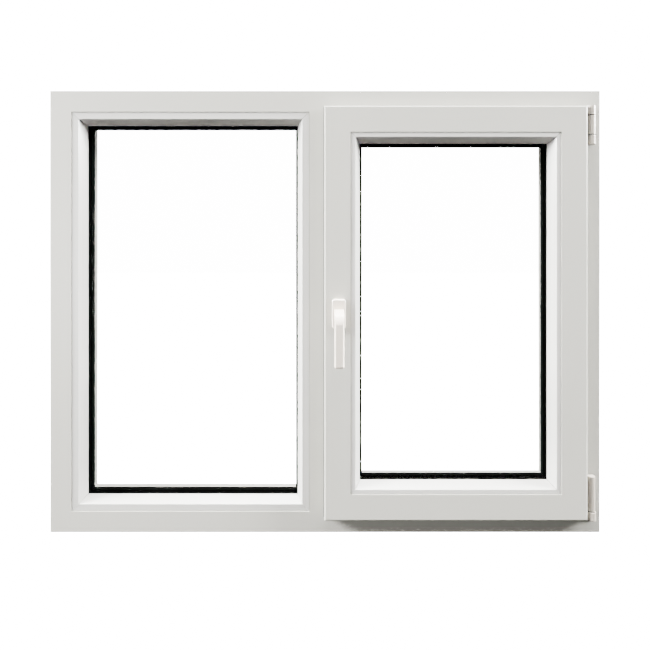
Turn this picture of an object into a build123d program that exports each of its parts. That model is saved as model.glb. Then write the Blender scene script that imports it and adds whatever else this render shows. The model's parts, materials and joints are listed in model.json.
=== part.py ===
from build123d import *
import math
import os

# A two-light window in white plastic profile: a fixed light on the left, a tilt-and-turn sash on
# the right. X runs to the right as seen from the room, Y from the room to the outside, Z up. The
# origin is the middle of the frame's bottom face. Millimetres.

# ---- frame
FRAME_W = 1245.0
FRAME_H = 1000.0
FRAME_FACE = 47.0          # outer edge to the rebate floor
FRAME_Y0 = -35.0           # room face
FRAME_Y1 = 35.0            # outside face
LIP = 27.0                 # height of the outside lip above the rebate floor
LIP_Y = 15.0               # room side of the outside lip
FIXED_W = 540.0            # rebate opening of the fixed light
MULLION_W = 42.0           # face of the mullion between its two rebates
FIX_Z_LOW = 150.0          # fixing holes through the jambs
FIX_Z_HIGH = 850.0
DRAIN_X = (-450.0, -160.0, 150.0, 440.0)

# ---- sash
OVERLAP = 8.0              # sash flange over the frame face
AIR = 12.0                 # hardware gap between sash and frame rebates
SASH_FACE = 58.4           # outer edge to the glazing rebate floor
SASH_LIP = 21.6
SASH_Y0 = -57.0
SASH_Y1 = 11.0
FLANGE_Y = -40.0           # back of the overlap flange
SASH_LIP_Y = -7.0
SEAL_LIP = 1.3             # overlap seal past the sash's edge
SEAL_LIP_T = 1.6

# ---- glass: two 4 mm panes, 12 mm apart
PANE = 4.0
CAVITY = 12.0
GASKET = 3.0
EDGE_GAP = 5.0             # glass edge to rebate floor
SPACER_IN = 5.5            # the black edge seal shows this far past the sightline
BEAD_SLOPE = 11.0          # width of the bead's sloping face
BEAD_DROP = 18.0           # depth of the bead's sloping face
BEAD_NOSE = 5.0
BEAD_STEP = 1.0            # bead face behind the profile face
BEAD_CUT = 0.35            # taken off each bead at its mitre, so that the joint shows as a line

# ---- hardware
GROOVE_Y = -27.0           # centre line of the hardware groove
PLATE_T = 2.5
PLATE_W = 15.6
ROD_T = 2.5
ROD_W = 9.0
CAM_R = 3.3
CAM_OUT = 8.5              # cam reach out of the faceplate
SIDE_CAM_Z = 800.0
TOP_CAM_X = 200.0
BOTTOM_CAM_X = 165.0
CORNER_LEG = 110.0
HINGE_X = 596.0
HINGE_Y = -47.0
TILT_Z = 47.0
LEAF_Y0 = -39.8            # hinge leaves run in the gap behind the sash flange
LEAF_Y1 = -37.6
BRACKET_T = 2.0
KNUCKLE_R = 6.5
CAP_R = 8.8
PIN_R = 3.0
RUN = 0.05                 # radial running clearance of a pin
ARM_L = 330.0
LINK_BACK = 110.0          # link rivet, measured back from the arm's far pin
ARM_Z0 = 944.6
ARM_T = 3.0
LINK_Z0 = 942.2
LINK_T = 2.0
MAX_TILT = 8.0
BALL_R = 4.2               # foot of the corner pin
SEAT_MOUTH_R = 5.0         # room for the pin to lean with the sash
PIN_TOP = 100.0
CORNER_Z = (39.0, 55.5)    # each hinge piece from its lower to its upper end
SLEEVE_Z = (57.5, 133.0)
TOP_KNUCKLES = ((943.0, 961.0), (878.0, 896.0))
ARM_KNUCKLE = (898.0, 941.0)
ARM_NOTCH = (896.0, 943.0)          # gaps in the overlap seal
SASH_LEAF_NOTCH = (58.0, 131.0)
ARM_PIN_Z = 934.0          # lower end of the pins that run in the stay guide

# ---- screws: length, head radius, shank radius
HEAD_H = 1.8
SMALL_SCREW = (15.0, 3.2, 1.8)
BIG_SCREW = (22.0, 4.0, 2.0)
LEAF_SCREW = (14.0, 4.0, 2.0)
HINGE_SCREWS = ((HINGE_X, 906.0), (HINGE_X, 933.0), (HINGE_X, 33.0))

# ---- handle
HANDLE_X = 30.5
HANDLE_Z = 500.0
RACK_X = 24.0              # pitch line of the rack
PINION_TEETH = 14
GRIP_W = 21.0
GRIP_END = 108.0           # spindle to the end of the grip
ROSE_W = 30.0
ROSE_H = 64.0
ROSE_T = 11.0
SCREW_HALF = 21.5          # handle screws either side of the spindle
SPINDLE = 7.0
NECK_R = 9.6
HUB_R = 5.4
RACK_TIP = 0.65            # tooth heights above and below the pitch line
RACK_ROOT = 1.05
PINION_TIP = 0.65
PINION_ROOT = 1.05
GRIP_BEVEL = 3.0           # under the front edge of the grip's end

HALF_W = FRAME_W / 2
FRAME_RECT = (-HALF_W, 0.0, HALF_W, FRAME_H)
FIX_X0 = -HALF_W + FRAME_FACE
FIX_X1 = FIX_X0 + FIXED_W
OPEN_X0 = FIX_X1 + MULLION_W
OPEN_X1 = HALF_W - FRAME_FACE
OPEN_Z0 = FRAME_FACE
OPEN_Z1 = FRAME_H - FRAME_FACE
FIXED_RECT = (FIX_X0, OPEN_Z0, FIX_X1, OPEN_Z1)
OPEN_RECT = (OPEN_X0, OPEN_Z0, OPEN_X1, OPEN_Z1)


def inset(rect, d):
    return (rect[0] + d, rect[1] + d, rect[2] - d, rect[3] - d)


SASH_RECT = inset(OPEN_RECT, -OVERLAP)
BODY_RECT = inset(OPEN_RECT, AIR)          # rebate side of the sash, where the hardware lies
SASH_GLAZING = inset(SASH_RECT, SASH_FACE)
BODY_IN = OVERLAP + AIR                    # sash outer edge to its rebate side
SASH_SX = SASH_RECT[0]

os.makedirs("parts", exist_ok=True)


def save(name, *shapes):
    """Write one node: a single solid, or a group of separate solids."""
    solids = [s for shape in shapes for s in shape.solids()]
    export_step(solids[0] if len(solids) == 1 else Compound(children=solids), f"parts/{name}.step")


# ---------------------------------------------------------------- helpers
def section(points, *hollows):
    """A cross-section in the (inwards, depth) plane, with box-shaped chambers."""
    face = make_face(Polyline(*points, close=True))
    for u0, y0, u1, y1 in hollows:
        face -= Pos((u0 + u1) / 2, (y0 + y1) / 2) * Rectangle(u1 - u0, y1 - y0)
    return face


def block(x0, x1, y0, y1, z0, z1):
    centre = Pos((x0 + x1) / 2, (y0 + y1) / 2, (z0 + z1) / 2)
    return centre * Box(abs(x1 - x0), abs(y1 - y0), abs(z1 - z0))


def rod_x(x0, x1, y, z, r):
    return Pos((x0 + x1) / 2, y, z) * Rot(0, 90, 0) * Cylinder(r, abs(x1 - x0))


def rod_y(x, y0, y1, z, r):
    return Pos(x, (y0 + y1) / 2, z) * Rot(90, 0, 0) * Cylinder(r, abs(y1 - y0))


def rod_z(x, y, z0, z1, r):
    return Pos(x, y, (z0 + z1) / 2) * Cylinder(r, abs(z1 - z0))


def side_plane(side, rect):
    """A plane at one end of a rectangle's side: local x runs inwards, local y is depth."""
    x0, z0, x1, z1 = rect
    if side == "bottom":
        return Plane(origin=(x1, 0, z0), x_dir=(0, 0, 1), z_dir=(-1, 0, 0))
    if side == "top":
        return Plane(origin=(x0, 0, z1), x_dir=(0, 0, -1), z_dir=(1, 0, 0))
    if side == "left":
        return Plane(origin=(x0, 0, z0), x_dir=(1, 0, 0), z_dir=(0, 0, 1))
    return Plane(origin=(x1, 0, z1), x_dir=(-1, 0, 0), z_dir=(0, 0, -1))


def side_length(side, rect):
    return rect[2] - rect[0] if side in ("top", "bottom") else rect[3] - rect[1]


def mitre(side, rect, d=150.0):
    """The space beside one side of a rectangle, between the two 45 degree corner planes."""
    x0, z0, x1, z1 = rect
    inner = [(x0 + d, z0 + d), (x1 - d, z0 + d), (x1 - d, z1 - d), (x0 + d, z1 - d)]
    outer = [(x0, z0), (x1, z0), (x1, z1), (x0, z1)]
    a = ("bottom", "right", "top", "left").index(side)
    b = (a + 1) % 4
    outline = [outer[a], outer[b], inner[b], inner[a]]
    return extrude(Plane.XZ * make_face(Polyline(*outline, close=True)), amount=200, both=True)


def mitred(side, rect, profile, cut=0.0):
    """One side's bar between its corner planes, with cut taken off square to each of them."""
    bar = extrude(side_plane(side, rect) * profile, amount=side_length(side, rect))
    dx, dz = {"bottom": (0, -1), "top": (0, 1), "left": (-1, 0), "right": (1, 0)}[side]
    outwards = cut * math.sqrt(2)
    return bar & Pos(dx * outwards, 0, dz * outwards) * mitre(side, rect)


def ring(rect, profile, cut=0.0):
    """Four mitred lengths of one profile around a rectangle."""
    return {side: mitred(side, rect, profile, cut) for side in ("top", "bottom", "left", "right")}


def straight(side, rect, u0, u1, y0, y1, start, end):
    """A plain bar along one side, from start to end along it (by x, or by z on the uprights)."""
    x0, z0, x1, z1 = rect
    if side == "bottom":
        return block(start, end, y0, y1, z0 + u0, z0 + u1)
    if side == "top":
        return block(start, end, y0, y1, z1 - u1, z1 - u0)
    if side == "left":
        return block(x0 + u0, x0 + u1, y0, y1, start, end)
    return block(x1 - u1, x1 - u0, y0, y1, start, end)


# ---------------------------------------------------------------- frame
def make_frame():
    profile = section(
        [
            (0, FRAME_Y0), (FRAME_FACE, FRAME_Y0), (FRAME_FACE, LIP_Y),
            (FRAME_FACE + LIP - 2, LIP_Y), (FRAME_FACE + LIP, LIP_Y + 2),
            (FRAME_FACE + LIP, FRAME_Y1 - 4), (FRAME_FACE + LIP - 4, FRAME_Y1), (0, FRAME_Y1),
            (0, 25), (3, 25), (3, 20), (0, 20), (0, -23), (3, -23), (3, -28), (0, -28),
        ],
        (6, -32, 43.5, -25),
        (6, -22.5, 43.5, 10),
        (6, 13, 24, 31.5),
        (26, 13, 44, 31.5),
        (50, 19, 69, 31),
    )
    rails = ring(FRAME_RECT, profile)
    holes = [rod_x(s * 560, s * 640, -8, z, 3.0) for s in (-1, 1) for z in (FIX_Z_LOW, FIX_Z_HIGH)]
    for x in DRAIN_X:
        rails["bottom"] -= block(x - 14, x + 14, 5, 45, 26, 30)
    for hole in holes:
        rails["left"] -= hole
        rails["right"] -= hole
    rails["right"] -= [place * screw_hole(*BIG_SCREW) for place in BRACKET_SCREWS]
    rails["top"] -= [place * screw_hole(*SMALL_SCREW) for place in TOP_KEEP_SCREWS]
    rails["bottom"] -= [place * screw_hole(*SMALL_SCREW) for place in TILT_KEEP_SCREWS]
    return rails


def make_mullion():
    """A T-section upright whose ends are milled to sit over the lips of head and sill."""
    x0, x1 = FIX_X1, OPEN_X0
    outline = [
        (x0, FRAME_Y0), (x1, FRAME_Y0), (x1, LIP_Y), (x1 + LIP - 2, LIP_Y), (x1 + LIP, LIP_Y + 2),
        (x1 + LIP, FRAME_Y1 - 4), (x1 + LIP - 4, FRAME_Y1), (x0 - LIP + 4, FRAME_Y1),
        (x0 - LIP, FRAME_Y1 - 4), (x0 - LIP, LIP_Y + 2), (x0 - LIP + 2, LIP_Y), (x0, LIP_Y),
    ]
    profile = section(
        outline,
        (x0 + 3, -32, x1 - 3, -25),
        (x0 + 3, -22.5, x1 - 3, 10),
        (x0 + 3, 13, x1 - 3, 31.5),
        (x0 - 22, 19, x0 - 3, 31),
        (x1 + 3, 19, x1 + 22, 31),
    )
    post = extrude(Pos(0, 0, OPEN_Z0) * profile, amount=OPEN_Z1 - OPEN_Z0)
    for z0, z1 in ((OPEN_Z0 - 1, OPEN_Z0 + LIP), (OPEN_Z1 - LIP, OPEN_Z1 + 1)):
        post -= block(x0 - 60, x1 + 60, LIP_Y, FRAME_Y1 + 5, z0, z1)
    post -= [place * screw_hole(*SMALL_SCREW) for place in SIDE_KEEP_SCREWS]
    return post


def tube(x0, x1, y0, y1, z0, z1, along, wall=1.5):
    """A galvanised steel reinforcement tube."""
    core = {
        "x": (x0 - 1, x1 + 1, y0 + wall, y1 - wall, z0 + wall, z1 - wall),
        "z": (x0 + wall, x1 - wall, y0 + wall, y1 - wall, z0 - 1, z1 + 1),
    }[along]
    return block(x0, x1, y0, y1, z0, z1) - block(*core)


def make_frame_steel():
    u0, u1, y0, y1, end = 17.0, 43.0, -22.0, 9.5, 50.0
    bars = [
        tube(-HALF_W + end, HALF_W - end, y0, y1, u0, u1, "x"),
        tube(-HALF_W + end, HALF_W - end, y0, y1, FRAME_H - u1, FRAME_H - u0, "x"),
        tube(-HALF_W + u0, -HALF_W + u1, y0, y1, end, FRAME_H - end, "z"),
        tube(HALF_W - u1, HALF_W - u0, y0, y1, end, FRAME_H - end, "z"),
        tube(FIX_X1 + 3.5, OPEN_X0 - 3.5, y0, y1, OPEN_Z0 + 5, OPEN_Z1 - 5, "z"),
    ]
    cuts = [rod_x(s * 560, s * 640, -8, z, 4.5) for s in (-1, 1) for z in (FIX_Z_LOW, FIX_Z_HIGH)]
    cuts += [rod_y(x, -36, -10, z, 2.6) for x, z in HINGE_SCREWS]
    return [bar - cuts for bar in bars]


# ---------------------------------------------------------------- glazing
def bead_profile(y_face, flat, slope):
    """Flat face, sloping face, nose on the gasket; a hollow inside."""
    y_nose = y_face + BEAD_DROP + BEAD_NOSE
    return section(
        [
            (0, y_face + 1.2), (1.2, y_face), (flat, y_face), (flat + slope, y_face + BEAD_DROP),
            (flat + slope, y_nose), (0, y_nose),
        ],
        (2.5, y_face + 4, flat - 1.5, y_nose - 2.5),
    )


def strip_profile(u0, u1, y0, y1, bevel):
    """A rubber strip: its free edge is bevelled towards the room."""
    return section([(u0, y0), (u1 - bevel, y0), (u1, y0 + bevel), (u1, y1), (u0, y1)])


def make_glazing(prefix, rect, bead_face_y, flat, slope, lip_y):
    """Everything in one glazing rebate: beads, two panes, black edge seal, gaskets, packers."""
    sight = flat + slope
    y_outer1 = lip_y - GASKET
    y_outer0 = y_outer1 - PANE
    y_inner1 = y_outer0 - CAVITY
    y_inner0 = y_inner1 - PANE
    beads = ring(rect, bead_profile(bead_face_y, flat, slope), BEAD_CUT)
    for side, bead in beads.items():
        save(f"{prefix}_bead_{side}", bead)
    px0, pz0, px1, pz1 = inset(rect, EDGE_GAP)
    save(f"{prefix}_outer_pane", block(px0, px1, y_outer0, y_outer1, pz0, pz1))
    save(f"{prefix}_inner_pane", block(px0, px1, y_inner0, y_inner1, pz0, pz1))
    seal = section(
        [
            (EDGE_GAP, y_inner1), (sight + SPACER_IN, y_inner1),
            (sight + SPACER_IN, y_outer0), (EDGE_GAP, y_outer0),
        ]
    )
    save(f"{prefix}_edge_seal", *ring(rect, seal).values())
    inner = strip_profile(sight - 7, sight + 2.5, y_inner0 - GASKET, y_inner0, 1.5)
    outer = strip_profile(sight - 6, sight + 1, y_outer1, lip_y, 0.5)
    save(f"{prefix}_gaskets", *ring(rect, inner).values(), *ring(rect, outer).values())
    y0, y1 = y_inner0 + 1, y_outer1 - 1
    x0, z0, x1, z1 = rect
    packers = [block(x, x + 100, y0, y1, z0, z0 + EDGE_GAP) for x in (x0 + 60, x1 - 160)]
    packers += [block(x0, x0 + EDGE_GAP, y0, y1, z, z + 100) for z in (z0 + 60, z1 - 160)]
    packers += [block(x1 - EDGE_GAP, x1, y0, y1, z, z + 100) for z in (z0 + 60, z1 - 160)]
    save(f"{prefix}_packers", *packers)


# ---------------------------------------------------------------- sash
def make_sash():
    b = BODY_IN
    f = SASH_FACE
    lip = SASH_FACE + SASH_LIP
    wide, slim = 8.0, 6.0
    outline = [
        (0, SASH_Y0 + 3), (0.9, SASH_Y0 + 0.9), (3, SASH_Y0), (f, SASH_Y0), (f, SASH_LIP_Y),
        (lip - 2, SASH_LIP_Y), (lip, SASH_LIP_Y + 2), (lip, SASH_Y1 - 4), (lip - 4, SASH_Y1),
        (b, SASH_Y1),
        (b, GROOVE_Y + wide), (b + 2.6, GROOVE_Y + wide), (b + 2.6, GROOVE_Y + slim),
        (b + 12.6, GROOVE_Y + slim), (b + 12.6, GROOVE_Y - slim), (b + 2.6, GROOVE_Y - slim),
        (b + 2.6, GROOVE_Y - wide), (b, GROOVE_Y - wide),
        (b, FLANGE_Y), (0, FLANGE_Y),
    ]
    profile = section(
        outline,
        (3, -54, 18, -43),
        (20, -54, 55.5, -41.5),
        (35, -39, 55.5, -12),
        (23, -16.5, 32.5, 8),
        (35, -10, 55, 8),
        (58, -3, 75, 7),
    )
    rails = ring(SASH_RECT, profile)
    # the gearbox pocket, the spindle hole and the two screw holes
    rails["left"] -= block(SASH_SX + b - 1, 46.5, GROOVE_Y - 6, GROOVE_Y + 6, 455, 545)
    rails["left"] -= rod_y(HANDLE_X, -58, GROOVE_Y, HANDLE_Z, 6.5)
    for s in (-1, 1):
        rails["left"] -= rod_y(HANDLE_X, -58, GROOVE_Y, HANDLE_Z + s * SCREW_HALF, 5.0)
    rails["right"] -= [place * screw_hole(*LEAF_SCREW) for place in LEAF_SCREWS]
    return rails


def make_sash_steel():
    x0, z0, x1, z1 = SASH_RECT
    u0, u1, y0, y1, end = 35.5, 55.0, -38.5, -12.5, 62.0
    left = tube(x0 + u0, x0 + u1, y0, y1, z0 + end, z1 - end, "z")
    left -= block(x0 + 20, 46.7, -60, GROOVE_Y + 6.2, 454, 546)
    right = tube(x1 - u1, x1 - u0, y0, y1, z0 + end, z1 - end, "z")
    bottom = tube(x0 + end, x1 - end, y0, y1, z0 + u0, z0 + u1, "x")
    top = tube(x0 + end, x1 - end, y0, y1, z1 - u1, z1 - u0, "x")
    return [left, right, bottom, top]


def overlap_seal():
    """The rubber on the back of the flange, notched where the hinge leaves pass. Its lip stands
    proud of the sash's edge, and shows as a black line where that edge is seen square-on."""
    back = FLANGE_Y + SEAL_LIP_T
    u0, u1, u2, u3, u4 = 0, SEAL_LIP + 5.5, SEAL_LIP + 6.5, SEAL_LIP + 9.5, SEAL_LIP + 10.5
    profile = section(
        [(u0, FLANGE_Y), (u4, FLANGE_Y), (u3, -35.4), (u2, -35.4), (u1, back), (u0, back)]
    )
    bars = ring(inset(SASH_RECT, -SEAL_LIP), profile)
    x1 = SASH_RECT[2]
    for z0, z1 in (ARM_NOTCH, SASH_LEAF_NOTCH):
        bars["right"] -= block(x1 - 20, x1 + 5, -42, -33, z0, z1)
    return bars.values()


# ---------------------------------------------------------------- lock gear
def slot_z(x, y, z0, z1, r, reach=12.0):
    """A slot through a faceplate on an upright, for a stem that travels in z."""
    ends = rod_x(x - reach, x + reach, y, z0, r) + rod_x(x - reach, x + reach, y, z1, r)
    return ends + block(x - reach, x + reach, y - r, y + r, z0, z1)


def slot_x(x0, x1, y, z, r, reach=12.0):
    """A slot through a faceplate on a rail, for a stem that travels in x."""
    ends = rod_z(x0, y, z - reach, z + reach, r) + rod_z(x1, y, z - reach, z + reach, r)
    return ends + block(x0, x1, y - r, y + r, z - reach, z + reach)


def plate_bar(side, u0, t, w, start, end):
    return straight(side, BODY_RECT, u0, u0 + t, GROOVE_Y - w / 2, GROOVE_Y + w / 2, start, end)


def make_lock_faceplates():
    x0, z0, x1, z1 = BODY_RECT
    r = CAM_R + 0.5
    lock = plate_bar("left", 0, PLATE_T, PLATE_W, z0 + CORNER_LEG + 1, z1 - CORNER_LEG - 1)
    lock -= slot_z(x0, GROOVE_Y, SIDE_CAM_Z - STROKE, SIDE_CAM_Z, r)
    bottom = plate_bar("bottom", 0, PLATE_T, PLATE_W, x0 + CORNER_LEG + 1, 430)
    bottom -= slot_x(BOTTOM_CAM_X, BOTTOM_CAM_X + STROKE, GROOVE_Y, z0, r)
    return lock, bottom


def make_stay_guide():
    """The faceplate on the top rail, with a slot for the cam and one for each stay pin."""
    x0, z0, x1, z1 = BODY_RECT
    plate = plate_bar("top", 0, PLATE_T, PLATE_W, x0 + CORNER_LEG + 1, 548)
    plate -= slot_x(TOP_CAM_X - STROKE, TOP_CAM_X, GROOVE_Y, z1, CAM_R + 0.5)
    plate -= slot_x(ARM_PIN_X - 0.5, ARM_PIN_X + ARM_SLIDE + 0.5, GROOVE_Y, z1, PIN_R + 1.7)
    plate -= slot_x(LINK_PIN_X - 2.2, LINK_PIN_X + 2.2, GROOVE_Y, z1, PIN_R + 1.7)
    return plate


def make_rods():
    x0, z0, x1, z1 = BODY_RECT
    rod = plate_bar("left", 2.9, ROD_T, ROD_W, 95, 905)
    rod -= block(RACK_X - RACK_ROOT, RACK_X + 10, -40, -10, HANDLE_Z - 12, HANDLE_Z + STROKE + 12)
    pitch = 2 * math.pi * PITCH_R / PINION_TEETH
    n = math.ceil((STROKE + 6) / pitch)
    for k in range(-3, n):
        z = HANDLE_Z + (k + 0.5) * pitch
        tooth = Polyline(
            (RACK_X - RACK_ROOT - 0.2, z - 0.95), (RACK_X + RACK_TIP, z - 0.3),
            (RACK_X + RACK_TIP, z + 0.3), (RACK_X - RACK_ROOT - 0.2, z + 0.95), close=True,
        )
        rod += extrude(Plane.XZ * make_face(tooth), amount=3, both=True).translate((0, GROOVE_Y, 0))
    rod += rod_x(x0 - CAM_OUT, x0 + 4, GROOVE_Y, SIDE_CAM_Z, CAM_R)
    top = plate_bar("top", 2.9, ROD_T, ROD_W, 54, 235)
    top += rod_z(TOP_CAM_X, GROOVE_Y, z1 - 4, z1 + CAM_OUT, CAM_R)
    bottom = plate_bar("bottom", 2.9, ROD_T, ROD_W, 38, 300)
    bottom += rod_z(BOTTOM_CAM_X, GROOVE_Y, z0 - CAM_OUT, z0 + 4, CAM_R)
    return rod, top, bottom


def make_corner_drives():
    """Per corner: an L-shaped faceplate with a guide under it, and the steel band that turns it."""
    x0, z0, x1, z1 = BODY_RECT
    out = []
    for side, zc, s in (("top", z1, -1), ("bottom", z0, 1)):
        far = zc + s * CORNER_LEG
        w = PLATE_W
        y0, y1 = GROOVE_Y - w / 2, GROOVE_Y + w / 2
        casing = block(x0, x0 + PLATE_T, y0, y1, zc, far)
        casing += block(x0, x0 + CORNER_LEG, y0, y1, zc, zc + s * PLATE_T)
        band = block(x0 + 5.6, x0 + 6.4, -31, -23, zc + s * 26, zc + s * 70)
        band += block(x0 + 26, x0 + 70, -31, -23, zc + s * 5.6, zc + s * 6.4)
        bend = rod_y(x0 + 26, -31, -23, zc + s * 26, 20.4) - rod_y(x0 + 26, -32, -22, zc + s * 26, 19.6)
        bend &= block(x0, x0 + 26, -31, -23, zc, zc + s * 26)
        out += [casing, band + bend]
    return out


def make_pinion():
    """A square-bored pinion between two hubs."""
    teeth = []
    for k in range(PINION_TEETH):
        root, tip = PITCH_R - PINION_ROOT, PITCH_R + PINION_TIP
        outline = Polyline(
            (root - 0.5, -0.95), (tip, -0.3), (tip, 0.3), (root - 0.5, 0.95), close=True
        )
        teeth.append(Rot(0, 0, 360 * k / PINION_TEETH) * make_face(outline))
    gear = Circle(PITCH_R - PINION_ROOT)
    for tooth in teeth:
        gear += tooth
    solid = extrude(Plane.XZ * gear, amount=3, both=True)
    solid += Rot(90, 0, 0) * Cylinder(HUB_R, 10.4)
    solid -= Box(SPINDLE + 0.1, 30, SPINDLE + 0.1)
    return Pos(HANDLE_X, GROOVE_Y, HANDLE_Z) * solid


def make_gearbox():
    x0, x1 = 25.2, 42.0
    case = block(x0, x1, GROOVE_Y - 5.8, GROOVE_Y + 5.8, 470, 530)
    case -= block(x0 - 1, x1 - 2, GROOVE_Y - 3.2, GROOVE_Y + 3.2, 488, 512)
    case -= rod_y(HANDLE_X, GROOVE_Y - 9, GROOVE_Y + 9, HANDLE_Z, HUB_R + RUN)
    for s in (-1, 1):
        case -= rod_y(HANDLE_X, GROOVE_Y - 9, GROOVE_Y + 2, HANDLE_Z + s * SCREW_HALF, 2.5)
    return case


# ---------------------------------------------------------------- strikers
def striker(length, lips, lip_y0, lip_y1):
    """A keep lying flat, facing +Z, centred on its cam's closed place; the lips point up."""
    keep = block(-length / 2, length / 2, -7, 9, 0, 2.5)
    for a, b in lips:
        keep += block(a, b, lip_y0 - GROOVE_Y, lip_y1 - GROOVE_Y, 0, 8.5)
    return keep


def make_strikers():
    """The side keep on the mullion, the top keep on the head and the tilt keep on the sill."""
    keep = striker(46, ((-14, 4),), -32.9, -31.1)
    turn_up = Pos(OPEN_X0, GROOVE_Y, SIDE_CAM_Z) * Rot(0, 90, 0)
    side = turn_up * keep
    top = Pos(TOP_CAM_X, GROOVE_Y, OPEN_Z1) * mirror(mirror(keep, Plane.XY), Plane.YZ)
    tilt = striker(70, ((-20, 4), (STROKE - 4, STROKE + 12)), -33.9, -32.0)
    tilt = Pos(BOTTOM_CAM_X, GROOVE_Y, OPEN_Z0) * tilt
    keeps = ((side, SIDE_KEEP_SCREWS), (top, TOP_KEEP_SCREWS), (tilt, TILT_KEEP_SCREWS))
    return [part - [p * screw_hole(*SMALL_SCREW) for p in places] for part, places in keeps]


def screw_hole(length, head_r, shank_r):
    """The countersunk hole that a screw fits in."""
    head = Pos(0, 0, -HEAD_H / 2) * Cone(shank_r + RUN, head_r + RUN, HEAD_H)
    mouth = Pos(0, 0, 0.5) * Cylinder(head_r + RUN, 1)
    return head + mouth + Pos(0, 0, -(length + 1) / 2) * Cylinder(shank_r + RUN, length + 1)


def screw(length, head_r, shank_r):
    """A countersunk screw pointing down, its head's top at the origin."""
    head = Pos(0, 0, -HEAD_H / 2) * Cone(shank_r, head_r, HEAD_H)
    recess = Pos(0, 0, -0.5) * (Box(0.8, head_r * 1.1, 1.2) + Box(head_r * 1.1, 0.8, 1.2))
    return head + Pos(0, 0, -length / 2) * Cylinder(shank_r, length) - recess


# ---------------------------------------------------------------- hinges
def at_hinge(shape):
    return Pos(HINGE_X, HINGE_Y, 0) * shape


def knuckle(z0, z1, r, bore):
    return rod_z(0, 0, z0, z1, r) - rod_z(0, 0, z0 - 1, z1 + 1, bore)


def cap_shell(z0, z1, inner_r, outer_r, lid=None):
    """A plastic cover, open at the back where the leaf comes out."""
    shell = knuckle(z0, z1, outer_r, inner_r)
    if lid == "top":
        shell += rod_z(0, 0, z1, z1 + 1.6, outer_r)
    if lid == "bottom":
        shell += rod_z(0, 0, z0 - 1.6, z0, outer_r)
    return shell - block(-12, 12, 4.5, 12, z0 - 3, z1 + 3)


def make_stay_bearing():
    """The frame's top hinge: two knuckles on a bracket that is screwed to the frame face."""
    (a0, a1), (b0, b1) = TOP_KNUCKLES
    bracket = block(-9, 9, 12 - BRACKET_T, 12, b0, a1)
    for z0, z1 in TOP_KNUCKLES:
        bracket += block(-4.5, 4.5, 4, 12, z0, z1)
        bracket += rod_z(0, 0, z0, z1, KNUCKLE_R)
        bracket -= rod_z(0, 0, z0 - 1, z1 + 1, PIN_R + RUN)
    caps = [cap_shell(a0, a1, KNUCKLE_R + 0.1, CAP_R, "top")]
    caps.append(cap_shell(b0, b1, KNUCKLE_R + 0.1, CAP_R, "bottom"))
    bracket = at_hinge(bracket) - [p * screw_hole(*BIG_SCREW) for p in BRACKET_SCREWS[:2]]
    return bracket, [at_hinge(c) for c in caps]


def make_corner_bearing():
    """The frame's bottom hinge: a seat in which the foot of the sash pin can rock and turn."""
    z0, z1 = CORNER_Z
    seat = rod_z(0, 0, z0, z1, 7.7) + block(-5, 5, 4, 12, z0, z1)
    seat += block(-9, 9, 12 - BRACKET_T, 12, z0 - 11, z1)
    seat -= Pos(0, 0, TILT_Z) * Sphere(BALL_R + RUN)
    seat -= rod_z(0, 0, TILT_Z, z1 + 1, SEAT_MOUTH_R)
    cap = cap_shell(z0, z1, 7.8, 9.5, "bottom")
    return at_hinge(seat) - BRACKET_SCREWS[2] * screw_hole(*BIG_SCREW), at_hinge(cap)


def make_corner_pin():
    """The sash's pivot pin: its ball foot turns and rocks in the corner bearing."""
    ball = Pos(0, 0, TILT_Z) * Sphere(BALL_R)
    return at_hinge(ball + rod_z(0, 0, TILT_Z, PIN_TOP, 3.5))


def leaf(z0, z1, x_in, y_back, thick):
    """A cranked leaf: from the knuckle, behind the sash flange and into the hardware gap."""
    y0, y1 = LEAF_Y0 - HINGE_Y, LEAF_Y1 - HINGE_Y
    plate = block(x_in, 2.5, y0, y1, z0, z1) + block(-2.5, 2.5, 4, y1, z0, z1)
    return plate + block(x_in, x_in + thick, y0, y_back - HINGE_Y, z0, z1)


def make_sash_hinge():
    """The sash's bottom hinge: a blind sleeve on the pin, and a leaf on the sash's edge."""
    z0, z1 = SLEEVE_Z
    x_in = BODY_RECT[2] - HINGE_X
    part = leaf(z0 + 4, z1 - 6, x_in, -5, 3.0) + rod_z(0, 0, z0, z1, 6.2)
    part -= rod_z(0, 0, z0 - 1, PIN_TOP + 1.5, 3.5 + RUN)
    part = at_hinge(part) - [place * screw_hole(*LEAF_SCREW) for place in LEAF_SCREWS]
    return part, at_hinge(cap_shell(z0, z1, 6.3, 7.9, "top"))


def make_stay_arm():
    z0, z1 = ARM_KNUCKLE
    x_in = 568.5 - HINGE_X
    yc = GROOVE_Y - HINGE_Y
    part = leaf(z0 + 4, z1 - 4, x_in, -20, 3.0) + rod_z(0, 0, z0, z1, KNUCKLE_R)
    part += block(x_in, x_in + 3, LEAF_Y0 - HINGE_Y, -20 - HINGE_Y, z0 + 4, ARM_Z0 + ARM_T)
    bar = block(-ARM_L, x_in + 3, yc - 7, yc + 7, ARM_Z0, ARM_Z0 + ARM_T)
    bar += rod_z(-ARM_L, yc, ARM_Z0, ARM_Z0 + ARM_T, 7)
    bar += rod_z(-ARM_L, yc, ARM_PIN_Z, ARM_Z0 + ARM_T, PIN_R)
    bar += rod_z(LINK_BACK - ARM_L, yc, LINK_Z0, ARM_Z0 + ARM_T + 0.8, 2.5)
    part += bar
    part -= rod_z(0, 0, z0 - 1, z1 + 1, PIN_R + RUN)
    cap = cap_shell(z0 + 0.5, z1 - 0.5, KNUCKLE_R + 0.1, CAP_R)
    return at_hinge(part), at_hinge(cap)


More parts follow.
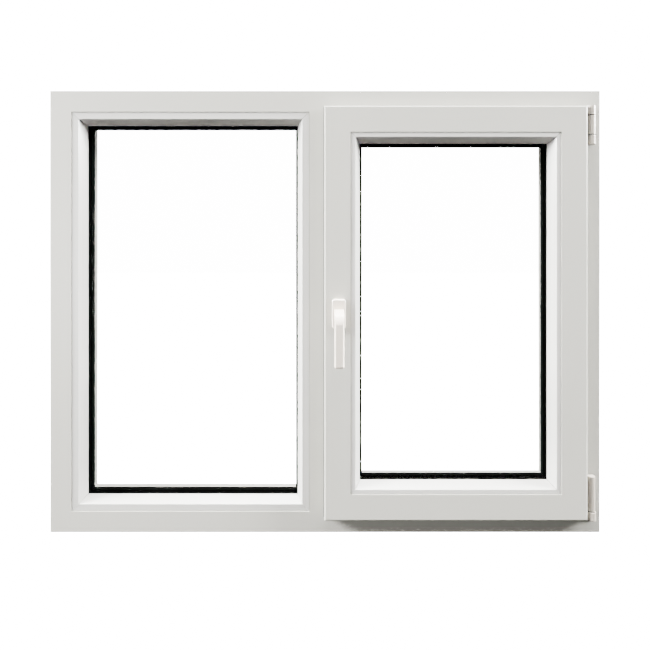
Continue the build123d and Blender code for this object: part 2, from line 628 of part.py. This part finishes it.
def make_stay_link():
    yc = GROOVE_Y - HINGE_Y
    a, b = LINK_BACK - ARM_L, LINK_PIN_X - HINGE_X
    part = block(a, b, yc - 6, yc + 6, LINK_Z0, LINK_Z0 + LINK_T)
    part += rod_z(a, yc, LINK_Z0, LINK_Z0 + LINK_T, 6) + rod_z(b, yc, LINK_Z0, LINK_Z0 + LINK_T, 6)
    part += rod_z(b, yc, ARM_PIN_Z, LINK_Z0 + LINK_T, PIN_R)
    part -= rod_z(a, yc, LINK_Z0 - 1, LINK_Z0 + LINK_T + 1, 2.5 + RUN)
    return at_hinge(part)


# ---------------------------------------------------------------- handle
def make_handle():
    face = SASH_Y0
    front = face - ROSE_T
    base = block(-14, 14, face - 6, face, -31, 31) - rod_y(0, face - 9, face + 1, 0, 8)
    cover = block(-ROSE_W / 2, ROSE_W / 2, front, face, -ROSE_H / 2, ROSE_H / 2)
    cover = fillet(cover.edges().filter_by(Axis.Y), 5)
    cover = chamfer(cover.faces().sort_by(Axis.Y)[0].edges(), 1.5)
    cover -= block(-14.1, 14.1, front + 1.5, face + 1, -31.1, 31.1)
    cover -= rod_y(0, front - 1, face + 1, 0, NECK_R + 0.2)
    screws = []
    for s in (-1, 1):
        z = s * SCREW_HALF
        base -= rod_y(0, face - 9, face + 1, z, 2.7)
        base -= rod_y(0, face - 9, face - 4, z, 4.7)
        screws.append(rod_y(0, face - 6, face - 4, z, 4.4) + rod_y(0, face - 4, -26, z, 2.45))
    neck = front - 2
    out = face - 41          # back of the grip
    tip = face - 55          # front of the grip
    bevel_top = (tip + 1.5, GRIP_BEVEL - GRIP_END)
    bevel_end = (tip + 1.5 + GRIP_BEVEL, -GRIP_END)
    outline = (
        Line((neck, 11), (neck - 8, 11))
        + RadiusArc((neck - 8, 11), (tip, -16), -30)
        + Line((tip, -16), bevel_top)
        + Line(bevel_top, bevel_end)
        + Line(bevel_end, (out - 1, -GRIP_END))
        + Line((out - 1, -GRIP_END), (out, -24))
        + RadiusArc((out, -24), (out + 13, -11), 14)
        + Line((out + 13, -11), (neck, -11))
        + Line((neck, -11), (neck, 11))
    )
    lever = extrude(Plane.YZ * make_face(outline), amount=GRIP_W / 2, both=True)
    long_edges = [e for e in lever.edges() if e.center().Y < out - 4 and abs(e.center().X) > 9]
    lever = chamfer(long_edges, 2.6)
    lever += rod_y(0, neck - 3, face - 6.3, 0, NECK_R)
    lever -= block(-3.55, 3.55, face - 20, face, -3.55, 3.55)
    spindle = block(-3.5, 3.5, face - 19.5, GROOVE_Y + 4.5, -3.5, 3.5)
    spindle = chamfer(spindle.edges().filter_by(Axis.Y), 0.8)
    move = Pos(HANDLE_X, 0, HANDLE_Z)
    return [move * s for s in (base, cover, lever, spindle)], [move * s for s in screws]


def drain_cap(x):
    """A hood over a drain slot, open below."""
    hood = block(x - 21, x + 21, 35, 41, 20, 36)
    hood = chamfer(hood.faces().sort_by(Axis.Y)[-1].edges(), 2)
    return hood - block(x - 18, x + 18, 34, 39, 19, 33)


# ---------------------------------------------------------------- derived places
PITCH_R = HANDLE_X - RACK_X
STROKE = math.pi * PITCH_R                  # rod travel for half a turn of the handle
SIDE_KEEP_SCREWS = [
    Pos(OPEN_X0 + PLATE_T, GROOVE_Y, SIDE_CAM_Z + d) * Rot(0, 90, 0) for d in (-18, 18)
]
TOP_KEEP_SCREWS = [
    Pos(TOP_CAM_X + d, GROOVE_Y, OPEN_Z1 - PLATE_T) * Rot(180, 0, 0) for d in (-18, 18)
]
TILT_KEEP_SCREWS = [Pos(BOTTOM_CAM_X + d, GROOVE_Y, OPEN_Z0 + PLATE_T) for d in (-28, 30)]
BRACKET_SCREWS = [Pos(x, FRAME_Y0 - BRACKET_T, z) * Rot(90, 0, 0) for x, z in HINGE_SCREWS]
LEAF_SCREWS = [Pos(BODY_RECT[2] + 3.0, -12, z) * Rot(0, 90, 0) for z in (90.0, 118.0)]

# the stay: the arm turns until its far pin meets the guide on the tilted sash, and the link's
# length makes it meet the guide both closed and fully tilted
tilt = math.radians(MAX_TILT)
offset = GROOVE_Y - HINGE_Y
guide_h = BODY_RECT[3] - TILT_Z
guide_y = offset * math.cos(tilt) - guide_h * math.sin(tilt)
reach = math.hypot(ARM_L, offset)
arm_turn = math.asin(-guide_y / reach) + math.atan2(offset, ARM_L)
rivet = ARM_L - LINK_BACK
rivet_x = -rivet * math.cos(arm_turn) - offset * math.sin(arm_turn)
rivet_y = -rivet * math.sin(arm_turn) + offset * math.cos(arm_turn)
drop = rivet_y - guide_y
link_x = (drop**2 - rivet**2 + rivet_x**2) / (2 * (rivet + rivet_x))
link_turn = arm_turn + math.asin(drop / (rivet + link_x))
ARM_PIN_X = HINGE_X - ARM_L
ARM_SLIDE = ARM_L - ARM_L * math.cos(arm_turn) - offset * math.sin(arm_turn)
LINK_PIN_X = HINGE_X + link_x


def main():
    frame = make_frame()
    save("frame_head", frame["top"])
    save("frame_sill", frame["bottom"])
    save("frame_left_jamb", frame["left"])
    save("frame_right_jamb", frame["right"])
    save("mullion", make_mullion())
    save("frame_steel", *make_frame_steel())
    make_glazing("fixed", FIXED_RECT, FRAME_Y0 + BEAD_STEP, 16.0, BEAD_SLOPE, LIP_Y)
    sash = make_sash()
    save("sash_top_rail", sash["top"])
    save("sash_bottom_rail", sash["bottom"])
    save("sash_left_stile", sash["left"])
    save("sash_right_stile", sash["right"])
    save("sash_steel", *make_sash_steel())
    flat = SASH_LIP - BEAD_SLOPE
    make_glazing("sash", SASH_GLAZING, SASH_Y0 + BEAD_STEP, flat, BEAD_SLOPE, SASH_LIP_Y)
    save("sash_overlap_seal", *overlap_seal())
    rebate = strip_profile(18, 26, SASH_Y1 + 0.4, LIP_Y, 1.0)
    save("frame_rebate_seal", *ring(OPEN_RECT, rebate).values())

    save("faceplates", *make_lock_faceplates())
    save("stay_guide", make_stay_guide())
    save("corner_drives", *make_corner_drives())
    rod, top_rod, bottom_rod = make_rods()
    save("drive_rod", rod)
    save("top_rod", top_rod)
    save("bottom_rod", bottom_rod)
    save("drive_pinion", make_pinion())
    save("gearbox_case", make_gearbox())

    side_keep, top_keep, tilt_keep = make_strikers()
    save("strikers", side_keep, top_keep)
    save("tilt_striker", tilt_keep)

    bearing, bearing_caps = make_stay_bearing()
    save("stay_bearing", bearing)
    save("stay_bearing_caps", *bearing_caps)
    seat, seat_cap = make_corner_bearing()
    save("corner_bearing", seat)
    save("corner_bearing_cap", seat_cap)
    save("corner_pin", make_corner_pin())
    hinge, hinge_cap = make_sash_hinge()
    save("sash_hinge", hinge)
    save("sash_hinge_cap", hinge_cap)
    (_, pin_top), (pin_low, _) = TOP_KNUCKLES
    save("stay_pin", at_hinge(rod_z(0, 0, pin_low + 0.2, pin_top - 0.2, PIN_R)))
    arm, arm_cap = make_stay_arm()
    save("stay_arm", arm)
    save("stay_arm_cap", arm_cap)
    save("stay_link", make_stay_link())

    (base, cover, lever, spindle), handle_screws = make_handle()
    save("handle_base", base)
    save("handle_cover", cover)
    save("handle_lever", lever)
    save("handle_spindle", spindle)
    save("handle_screws", *handle_screws)

    keep_screws = SIDE_KEEP_SCREWS + TOP_KEEP_SCREWS + TILT_KEEP_SCREWS
    screws = [place * screw(*SMALL_SCREW) for place in keep_screws]
    screws += [place * screw(*BIG_SCREW) for place in BRACKET_SCREWS]
    save("frame_screws", *screws)
    save("sash_screws", *[place * screw(*LEAF_SCREW) for place in LEAF_SCREWS])
    save("drain_caps", *[drain_cap(x) for x in DRAIN_X])


main()
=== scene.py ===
import json
import math

import bpy
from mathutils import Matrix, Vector


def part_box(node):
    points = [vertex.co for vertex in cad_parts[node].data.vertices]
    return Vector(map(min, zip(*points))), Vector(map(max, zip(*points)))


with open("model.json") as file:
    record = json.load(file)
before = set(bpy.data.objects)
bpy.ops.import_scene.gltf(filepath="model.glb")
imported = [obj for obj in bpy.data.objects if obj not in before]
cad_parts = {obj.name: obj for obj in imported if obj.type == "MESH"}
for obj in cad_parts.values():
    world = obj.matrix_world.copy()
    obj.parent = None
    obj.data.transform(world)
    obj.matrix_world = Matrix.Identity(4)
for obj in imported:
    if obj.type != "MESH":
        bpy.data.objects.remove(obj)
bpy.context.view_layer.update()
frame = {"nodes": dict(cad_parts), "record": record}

# ---- the room: camera where the photograph was taken from, by parallax
CAMERA_AT = (0.0, -1.065, 0.673)
CAMERA_LENS = 25.17
CAMERA_SHIFT = (0.0, -0.138)
FLOOR_Z = -0.001
STAGE_SIZE = 14.0
STAGE_GLOW = 22.0              # strong enough to be seen as pure white
SKY_HEIGHTS = (0.1, 0.9)       # between these the room's light rises
SKY_LIGHT = (0.02, 0.5)

# ---- lamps: name, place, target, size, watts, spread in degrees
LAMPS = (
    ("key_from_above", (-0.2, -0.60, 5.0), (0, 0, 0.2), (2.6, 0.7), 105, 60),
    ("left", (-3.9, -0.65, 2.3), (-0.2, 0, 0.4), (1.2, 1.4), 300, 70),
    ("right", (3.9, -0.30, 2.3), (0.2, 0, 0.4), (1.2, 1.4), 330, 70),
    ("low_fill", (-1.6, -2.2, 0.5), (-0.3, 0, 0.35), (1.2, 0.8), 9, 100),
    ("behind", (0.5, 2.6, 2.3), (0, 0, 0.5), (2.0, 1.2), 45, 100),
)

# ---- finishes, as linear colours
WHITE_PVC = (0.58, 0.57, 0.51)
# the bead is the frame's white PVC painted lighter: painted light, so that its sloping faces read
# brighter
WHITE_BEAD_PAINTED_LIGHT = (0.68, 0.67, 0.63)
WHITE_HANDLE = (0.90, 0.80, 0.68)
WHITE_HINGE = (0.42, 0.38, 0.32)
BLACK_RUBBER = (0.0012, 0.0013, 0.0012)
ZINC = (0.45, 0.46, 0.47)
PACKER_BLUE = (0.06, 0.12, 0.30)
GLASS_TINTS = (0.010, 0.016, 0.014), (0.014, 0.020, 0.018)
GLASS_ALPHA = 0.03             # what the eye gets of the pane itself
STAGE_TINTS = (0.93, 0.93, 0.93), (0.95, 0.95, 0.95)
EXTRUDED_DARK = 0.965          # the darker end of a plastic's slow change of tone
MOULDED_DARK = 0.96

# ---- surface detail, as noise scales per metre and bump heights in metres
DRAW_LINES = 260.0             # across an extruded profile
DRAW_LENGTH = 1.2              # and along it
EXTRUDED_TONE = 2.4
MOULDED_TONE = 30.0
RUBBER_GRAIN, RUBBER_TONE = 700.0, 14.0
ZINC_CLOUD, ZINC_ROLLED = 60.0, 300.0
GLASS_WAVE = 3.0
STAGE_GRAIN = 4.0
DRAW_DEPTH, PEEL_DEPTH = 0.00003, 0.00002
RUBBER_DEPTH, ROLLED_DEPTH = 0.00005, 0.00002


# ---------------------------------------------------------------- node helpers
def new_material(name):
    mat = bpy.data.materials.new(name)
    mat.use_nodes = True
    nodes = mat.node_tree.nodes
    nodes.clear()
    out = nodes.new("ShaderNodeOutputMaterial")
    shader = nodes.new("ShaderNodeBsdfPrincipled")
    mat.node_tree.links.new(shader.outputs["BSDF"], out.inputs["Surface"])
    return mat, nodes, mat.node_tree.links, shader


def object_coords(nodes, links, scale=(1, 1, 1)):
    """Coordinates of the object itself, stretched by scale."""
    coord = nodes.new("ShaderNodeTexCoord")
    mapping = nodes.new("ShaderNodeMapping")
    mapping.inputs["Scale"].default_value = scale
    links.new(coord.outputs["Object"], mapping.inputs["Vector"])
    return mapping.outputs["Vector"]


def noise(nodes, links, vector, scale, detail=3.0):
    tex = nodes.new("ShaderNodeTexNoise")
    tex.inputs["Scale"].default_value = scale
    tex.inputs["Detail"].default_value = detail
    links.new(vector, tex.inputs["Vector"])
    return tex.outputs["Fac"]


def spread(nodes, links, value, low, high):
    """Maps the middle of a noise onto low to high."""
    remap = nodes.new("ShaderNodeMapRange")
    remap.inputs["From Min"].default_value = 0.3
    remap.inputs["From Max"].default_value = 0.7
    remap.inputs["To Min"].default_value = low
    remap.inputs["To Max"].default_value = high
    links.new(value, remap.inputs["Value"])
    return remap.outputs["Result"]


def tint(nodes, links, value, dark, light):
    ramp = nodes.new("ShaderNodeValToRGB")
    ramp.color_ramp.elements[0].position = 0.3
    ramp.color_ramp.elements[0].color = (*dark, 1)
    ramp.color_ramp.elements[1].position = 0.7
    ramp.color_ramp.elements[1].color = (*light, 1)
    links.new(value, ramp.inputs["Fac"])
    return ramp.outputs["Color"]


def bump(nodes, links, shader, height, distance, strength=1.0):
    node = nodes.new("ShaderNodeBump")
    node.inputs["Distance"].default_value = distance
    node.inputs["Strength"].default_value = strength
    links.new(height, node.inputs["Height"])
    links.new(node.outputs["Normal"], shader.inputs["Normal"])


def shade(color, factor):
    return tuple(c * factor for c in color)


# ---------------------------------------------------------------- materials
def extrusion(name, color, along, rough=(0.30, 0.40)):
    """Satin plastic profile: faint draw lines along its length, and a slow change of tone."""
    mat, nodes, links, shader = new_material(name)
    lines = [DRAW_LINES] * 3
    lines["xyz".index(along)] = DRAW_LENGTH
    slow = noise(nodes, links, object_coords(nodes, links), EXTRUDED_TONE)
    drawn = noise(nodes, links, object_coords(nodes, links, lines), 1.0)
    tone = tint(nodes, links, slow, shade(color, EXTRUDED_DARK), color)
    links.new(tone, shader.inputs["Base Color"])
    links.new(spread(nodes, links, drawn, *rough), shader.inputs["Roughness"])
    bump(nodes, links, shader, drawn, DRAW_DEPTH, 0.5)
    return mat


def moulded(name, color, rough=(0.28, 0.38), grain=900.0):
    """Moulded plastic or powder coat, with a fine orange-peel surface."""
    mat, nodes, links, shader = new_material(name)
    vector = object_coords(nodes, links)
    peel = noise(nodes, links, vector, grain, 2.0)
    slow = noise(nodes, links, vector, MOULDED_TONE)
    tone = tint(nodes, links, slow, shade(color, MOULDED_DARK), color)
    links.new(tone, shader.inputs["Base Color"])
    links.new(spread(nodes, links, slow, *rough), shader.inputs["Roughness"])
    bump(nodes, links, shader, peel, PEEL_DEPTH, 0.5)
    shader.inputs["Coat Weight"].default_value = 0.15
    return mat


def rubber(name, color):
    """Matt black rubber, patchy and finely grained, with no shine."""
    mat, nodes, links, shader = new_material(name)
    vector = object_coords(nodes, links)
    grain = noise(nodes, links, vector, RUBBER_GRAIN)
    patch = noise(nodes, links, vector, RUBBER_TONE)
    links.new(tint(nodes, links, patch, color, shade(color, 2.4)), shader.inputs["Base Color"])
    links.new(spread(nodes, links, patch, 0.6, 0.85), shader.inputs["Roughness"])
    bump(nodes, links, shader, grain, RUBBER_DEPTH, 0.6)
    shader.inputs["Specular IOR Level"].default_value = 0.0
    return mat


def zinc(name, color, along=(1, 1, 1)):
    """Zinc plate: bright metal, clouded, with rolling marks."""
    mat, nodes, links, shader = new_material(name)
    cloud = noise(nodes, links, object_coords(nodes, links), ZINC_CLOUD, 5.0)
    rolled = noise(nodes, links, object_coords(nodes, links, along), ZINC_ROLLED)
    links.new(tint(nodes, links, cloud, shade(color, 0.75), color), shader.inputs["Base Color"])
    links.new(spread(nodes, links, rolled, 0.28, 0.46), shader.inputs["Roughness"])
    bump(nodes, links, shader, rolled, ROLLED_DEPTH, 0.5)
    shader.inputs["Metallic"].default_value = 1.0
    return mat


def window_glass():
    """Clear float glass, with the slightest unevenness in its tint and surface."""
    mat, nodes, links, shader = new_material("window_glass")
    wave = noise(nodes, links, object_coords(nodes, links), GLASS_WAVE)
    links.new(tint(nodes, links, wave, *GLASS_TINTS), shader.inputs["Base Color"])
    links.new(spread(nodes, links, wave, 0.0, 0.006), shader.inputs["Roughness"])
    shader.inputs["Alpha"].default_value = GLASS_ALPHA
    return mat


PVC = {a: extrusion(f"pvc_{a}", WHITE_PVC, a) for a in "xz"}
# the bead materials carry that lighter white, painted light over the whole bead
BEAD = {a: extrusion(f"bead_{a}", WHITE_BEAD_PAINTED_LIGHT, a, (0.24, 0.34)) for a in "xz"}
HANDLE = moulded("handle_coat", WHITE_HANDLE)
HINGE = moulded("hinge_cover", WHITE_HINGE)
CAP = moulded("drain_cap", WHITE_PVC, (0.4, 0.5))
PACKER = moulded("packer", PACKER_BLUE, (0.5, 0.6))
GASKET = rubber("gasket", BLACK_RUBBER)
SEAL = rubber("edge_seal", shade(BLACK_RUBBER, 0.8))
GALVANISED = zinc("galvanised", shade(ZINC, 0.85))
HARDWARE = zinc("hardware", ZINC, (1, 1, 0.1))
SCREW = zinc("screw", shade(ZINC, 1.1))
# near-black zinc: painted shade for the hinge metal seen in the joints between the covers
STEEL_PAINTED_SHADE = zinc("steel_painted_shade", shade(ZINC, 0.04))
GLASS = window_glass()
PLASTIC_WHITE = {"pvc_white": PVC, "bead_white": BEAD}

BY_SLOT = {
    "handle_white": HANDLE, "hinge_white": HINGE, "cap_plastic": CAP, "packer_plastic": PACKER,
    "gasket_black": GASKET, "spacer_black": SEAL, "galvanised": GALVANISED,
    "hardware_steel": HARDWARE, "screw_steel": SCREW, "glass": GLASS,
}


def upright(node):
    low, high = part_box(node)
    return high[2] - low[2] > high[0] - low[0]


# hinge metal behind the covers is painted near black, as painted shade, so that the joints between
# them read as dark lines
PAINTED_SHADE_NODES = ("stay_bearing", "stay_pin", "corner_bearing", "corner_pin")

for part in frame["record"]["subparts"]:
    node, slot_name = part["node"], part["material_slot"]
    along = "z" if upright(node) else "x"
    if slot_name in PLASTIC_WHITE:
        material = PLASTIC_WHITE[slot_name][along]
    elif node in PAINTED_SHADE_NODES:
        material = STEEL_PAINTED_SHADE
    else:
        material = BY_SLOT[slot_name]
    mesh = frame["nodes"][node].data
    mesh.materials.clear()
    mesh.materials.append(material)


# ---------------------------------------------------------------- stage, light and camera
def plane(name, size, location, material):
    bpy.ops.mesh.primitive_plane_add(size=size, location=location)
    obj = bpy.context.object
    obj.name = name
    obj.data.materials.append(material)
    obj.visible_diffuse = False
    obj.visible_glossy = False


def stage_material():
    mat, nodes, links, shader = new_material("stage_white")
    grain = noise(nodes, links, object_coords(nodes, links), STAGE_GRAIN)
    links.new(tint(nodes, links, grain, *STAGE_TINTS), shader.inputs["Base Color"])
    shader.inputs["Roughness"].default_value = 0.9
    shader.inputs["Emission Color"].default_value = (1, 1, 1, 1)
    shader.inputs["Emission Strength"].default_value = STAGE_GLOW
    return mat


plane("floor", STAGE_SIZE, (0, 0, FLOOR_Z), stage_material())


def area_light(name, location, target, size, power, spread_deg):
    data = bpy.data.lights.new(name, "AREA")
    data.shape = "RECTANGLE"
    data.size, data.size_y = size
    data.energy = power
    data.spread = math.radians(spread_deg)
    light = bpy.data.objects.new(name, data)
    bpy.context.collection.objects.link(light)
    light.location = location
    away = light.location - Vector(target)
    light.rotation_euler = away.to_track_quat("Z", "Y").to_euler()


for lamp in LAMPS:
    area_light(*lamp)


def studio_world():
    """Soft light from overhead, fading to a dim room at eye level; what is seen of it is white."""
    world = bpy.data.worlds.new("studio")
    world.use_nodes = True
    nodes, links = world.node_tree.nodes, world.node_tree.links
    coord = nodes.new("ShaderNodeTexCoord")
    split = nodes.new("ShaderNodeSeparateXYZ")
    fade = nodes.new("ShaderNodeMapRange")
    fade.inputs["From Min"].default_value, fade.inputs["From Max"].default_value = SKY_HEIGHTS
    fade.inputs["To Min"].default_value, fade.inputs["To Max"].default_value = SKY_LIGHT
    links.new(coord.outputs["Generated"], split.inputs["Vector"])
    links.new(split.outputs["Z"], fade.inputs["Value"])
    links.new(fade.outputs["Result"], nodes["Background"].inputs["Strength"])
    nodes["Background"].inputs["Color"].default_value = (1, 1, 1, 1)
    # the eye and the camera get plain white in every direction
    seen = nodes.new("ShaderNodeBackground")
    seen.inputs["Strength"].default_value = STAGE_GLOW
    path = nodes.new("ShaderNodeLightPath")
    choose = nodes.new("ShaderNodeMixShader")
    links.new(path.outputs["Is Camera Ray"], choose.inputs["Fac"])
    links.new(nodes["Background"].outputs["Background"], choose.inputs[1])
    links.new(seen.outputs["Background"], choose.inputs[2])
    links.new(choose.outputs["Shader"], nodes["World Output"].inputs["Surface"])
    return world


bpy.context.scene.world = studio_world()

camera_data = bpy.data.cameras.new("photo_camera")
camera_data.sensor_width = 36.0
camera_data.lens = CAMERA_LENS
camera_data.shift_x, camera_data.shift_y = CAMERA_SHIFT
camera = bpy.data.objects.new("photo_camera", camera_data)
bpy.context.collection.objects.link(camera)
camera.location = CAMERA_AT
camera.rotation_euler = (math.pi / 2, 0, 0)
bpy.context.scene.camera = camera
